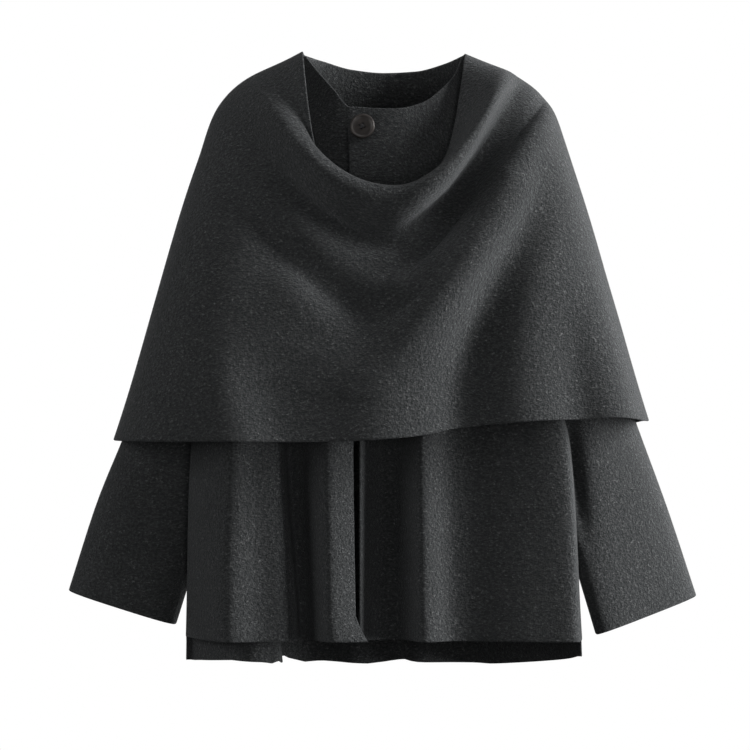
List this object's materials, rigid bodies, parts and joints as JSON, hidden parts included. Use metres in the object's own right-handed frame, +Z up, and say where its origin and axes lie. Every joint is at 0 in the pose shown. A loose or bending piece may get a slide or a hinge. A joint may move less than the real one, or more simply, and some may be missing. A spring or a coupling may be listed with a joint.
{
  "type": "short wool coat with a draped shoulder cape",
  "caption": "Short collarless coat of brushed wool with wide sleeves, a draped cowl cape over the shoulders and a button at the neck, filled out with no wearer.",
  "frame": {"origin": "middle of the neck opening, level with the two neck points, where a wearer's neck and shoulders hold the coat up", "axes": "+Z up, -Y is the front of the coat, -X is the wearer's right"},
  "size_m": [0.7084, 0.3052, 0.6912],
  "materials": {
    "wool": "brushed charcoal melange wool, matte with a short nap",
    "button": "dark brown horn look, satin"
  },
  "bodies": {
    "root": {"coat_back": "wool", "coat_front_right": "wool", "coat_front_left": "wool", "sleeve_right": "wool", "sleeve_left": "wool", "cape_front": "wool", "cape_back": "wool", "button": "button"}
  },
  "joints": []
}
